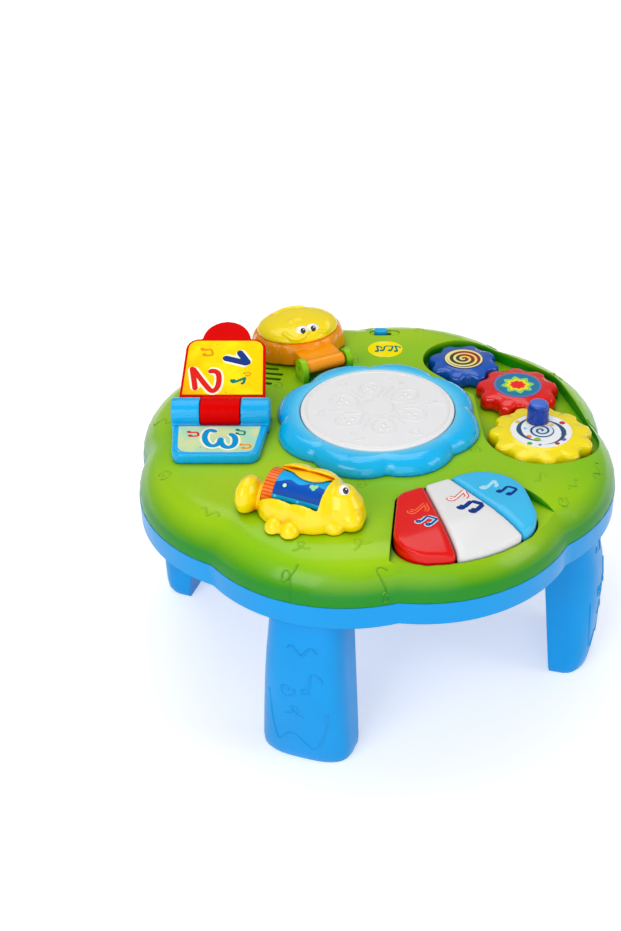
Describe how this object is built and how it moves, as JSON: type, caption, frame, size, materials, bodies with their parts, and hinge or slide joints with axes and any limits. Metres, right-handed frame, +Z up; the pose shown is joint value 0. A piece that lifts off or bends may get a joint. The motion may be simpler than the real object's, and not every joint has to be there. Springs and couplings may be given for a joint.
{
  "type": "musical activity table",
  "caption": "Round toddler play table on plug-in legs, with a press drum, keys, meshed gears with a crank, a lift-up lion, a flip page and a picture roller.",
  "frame": {"origin": "on the floor, below the middle of the casing", "axes": "+Z up, the keys at the front (-Y), the lion at the back (+Y), the gears on the right (+X)"},
  "size_m": [0.3306, 0.3306, 0.2053],
  "materials": {
    "green_plastic": "glossy lime green, darker in the recess",
    "blue_plastic": "glossy bright blue",
    "sky_plastic": "glossy translucent sky blue",
    "white_plastic": "satin white with a faint relief",
    "red_plastic": "glossy red",
    "yellow_plastic": "glossy yellow",
    "orange_plastic": "glossy orange",
    "navy_plastic": "glossy dark blue",
    "pale_blue_plastic": "glossy light blue",
    "eye_plastic": "glossy black pupil on white",
    "printed_film": "glossy printed film",
    "roller_film": "glossy printed film",
    "steel": "plain steel",
    "foam": "matte foam rubber",
    "circuit_board": "satin green laminate",
    "led_plastic": "clear tinted",
    "dark_plastic": "matte black plastic",
    "silicone": "matte grey silicone",
    "cell_jacket": "glossy plain jacket"
  },
  "bodies": {
    "table": {"top_shell": "green_plastic", "bottom_shell": "blue_plastic", "battery_door": "blue_plastic", "battery_door_screw": "steel", "batteries": "cell_jacket", "battery_contacts": "steel", "casing_screws": "steel", "drum_ring": "sky_plastic", "drum_foam_ring": "foam", "light_board": "circuit_board", "drum_leds": "led_plastic", "main_board": "circuit_board", "speaker": "dark_plastic", "key_pivot_pin": "steel", "key_board": "circuit_board", "key_domes": "silicone", "gear_axles": "steel", "lion_hinge_pin": "steel", "book_base": "pale_blue_plastic", "book_base_card": "printed_film", "book_hinge_pin": "steel", "animal_shell": "yellow_plastic", "animal_eye": "eye_plastic", "slide_switch": "dark_plastic", "label_disc": "printed_film"},
    "drum_head_body": {"drum_head": "white_plastic"},
    "key_red_body": {"key_red": "red_plastic"},
    "key_white_body": {"key_white": "white_plastic"},
    "key_blue_body": {"key_blue": "pale_blue_plastic"},
    "gear_blue_body": {"gear_blue": "navy_plastic", "gear_blue_disc": "printed_film"},
    "gear_red_body": {"gear_red": "red_plastic", "gear_red_disc": "printed_film"},
    "gear_yellow_body": {"gear_yellow": "yellow_plastic", "gear_yellow_disc": "printed_film"},
    "knob_body": {"crank_knob": "navy_plastic"},
    "lion_body": {"lion_mane": "orange_plastic", "lion_face": "yellow_plastic", "lion_eyes": "eye_plastic"},
    "book_page_body": {"book_page": "red_plastic", "book_page_card": "printed_film"},
    "roller_body": {"picture_roller": "roller_film", "roller_axle": "steel"},
    "slider_body": {"switch_slider": "pale_blue_plastic"},
    "leg_front_left_body": {"leg_front_left": "blue_plastic"},
    "leg_front_right_body": {"leg_front_right": "blue_plastic"},
    "leg_rear_left_body": {"leg_rear_left": "blue_plastic"},
    "leg_rear_right_body": {"leg_rear_right": "blue_plastic"}
  },
  "joints": [
    {"name": "drum_press", "type": "slide", "parent": "table", "child": "drum_head_body", "axis": [0, 0, -1], "range_m": [0, 0.0015], "stiffness_N_per_m": 1500, "springref_m": -0.002, "deforming": ["drum_foam_ring"]},
    {"name": "key_red_press", "type": "hinge", "parent": "table", "child": "key_red_body", "pos_m": [0.0025, -0.0745, 0.155], "axis": [1, 0, 0], "range_deg": [0, 3], "stiffness_Nm_per_rad": 0.8, "springref_deg": -2.29},
    {"name": "key_white_press", "type": "hinge", "parent": "table", "child": "key_white_body", "pos_m": [0.0025, -0.0745, 0.155], "axis": [1, 0, 0], "range_deg": [0, 3], "stiffness_Nm_per_rad": 0.8, "springref_deg": -2.29},
    {"name": "key_blue_press", "type": "hinge", "parent": "table", "child": "key_blue_body", "pos_m": [0.0025, -0.0745, 0.155], "axis": [1, 0, 0], "range_deg": [0, 3], "stiffness_Nm_per_rad": 0.8, "springref_deg": -2.29},
    {"name": "gear_yellow_turn", "type": "hinge", "parent": "table", "child": "gear_yellow_body", "pos_m": [0.09514, -0.0605, 0.155], "axis": [0, 0, 1], "continuous": true},
    {"name": "gear_red_turn", "type": "hinge", "parent": "table", "child": "gear_red_body", "pos_m": [0.1142, -0.0015, 0.155], "axis": [0, 0, 1], "continuous": true},
    {"name": "gear_blue_turn", "type": "hinge", "parent": "table", "child": "gear_blue_body", "pos_m": [0.0995, 0.04911, 0.155], "axis": [0, 0, 1], "continuous": true},
    {"name": "knob_turn", "type": "hinge", "parent": "gear_yellow_body", "child": "knob_body", "pos_m": [0.10042, -0.04807, 0.168], "axis": [0, 0, 1], "continuous": true},
    {"name": "lion_lift", "type": "hinge", "parent": "table", "child": "lion_body", "pos_m": [-0.0005, 0.0785, 0.171], "axis": [1, 0, 0], "range_deg": [0, 100]},
    {"name": "book_page_turn", "type": "hinge", "parent": "table", "child": "book_page_body", "pos_m": [-0.09302, 0.04759, 0.1725], "axis": [0.8854, -0.4648, 0], "range_deg": [0, 150]},
    {"name": "roller_turn", "type": "hinge", "parent": "table", "child": "roller_body", "pos_m": [-0.08495, -0.06673, 0.1705], "axis": [0.6157, -0.788, 0], "continuous": true},
    {"name": "switch_slide", "type": "slide", "parent": "table", "child": "slider_body", "axis": [0.8854, -0.4648, 0], "range_m": [0, 0.006]},
    {"name": "leg_front_left_pull", "type": "slide", "parent": "table", "child": "leg_front_left_body", "axis": [0, 0, -1], "range_m": [0, 0.04]},
    {"name": "leg_front_right_pull", "type": "slide", "parent": "table", "child": "leg_front_right_body", "axis": [0, 0, -1], "range_m": [0, 0.04]},
    {"name": "leg_rear_left_pull", "type": "slide", "parent": "table", "child": "leg_rear_left_body", "axis": [0, 0, -1], "range_m": [0, 0.04]},
    {"name": "leg_rear_right_pull", "type": "slide", "parent": "table", "child": "leg_rear_right_body", "axis": [0, 0, -1], "range_m": [0, 0.04]}
  ],
  "couplings": [
    {"joint": "gear_red_turn", "follows": "gear_yellow_turn", "ratio": -1.2222},
    {"joint": "gear_blue_turn", "follows": "gear_yellow_turn", "ratio": 1.375}
  ]
}
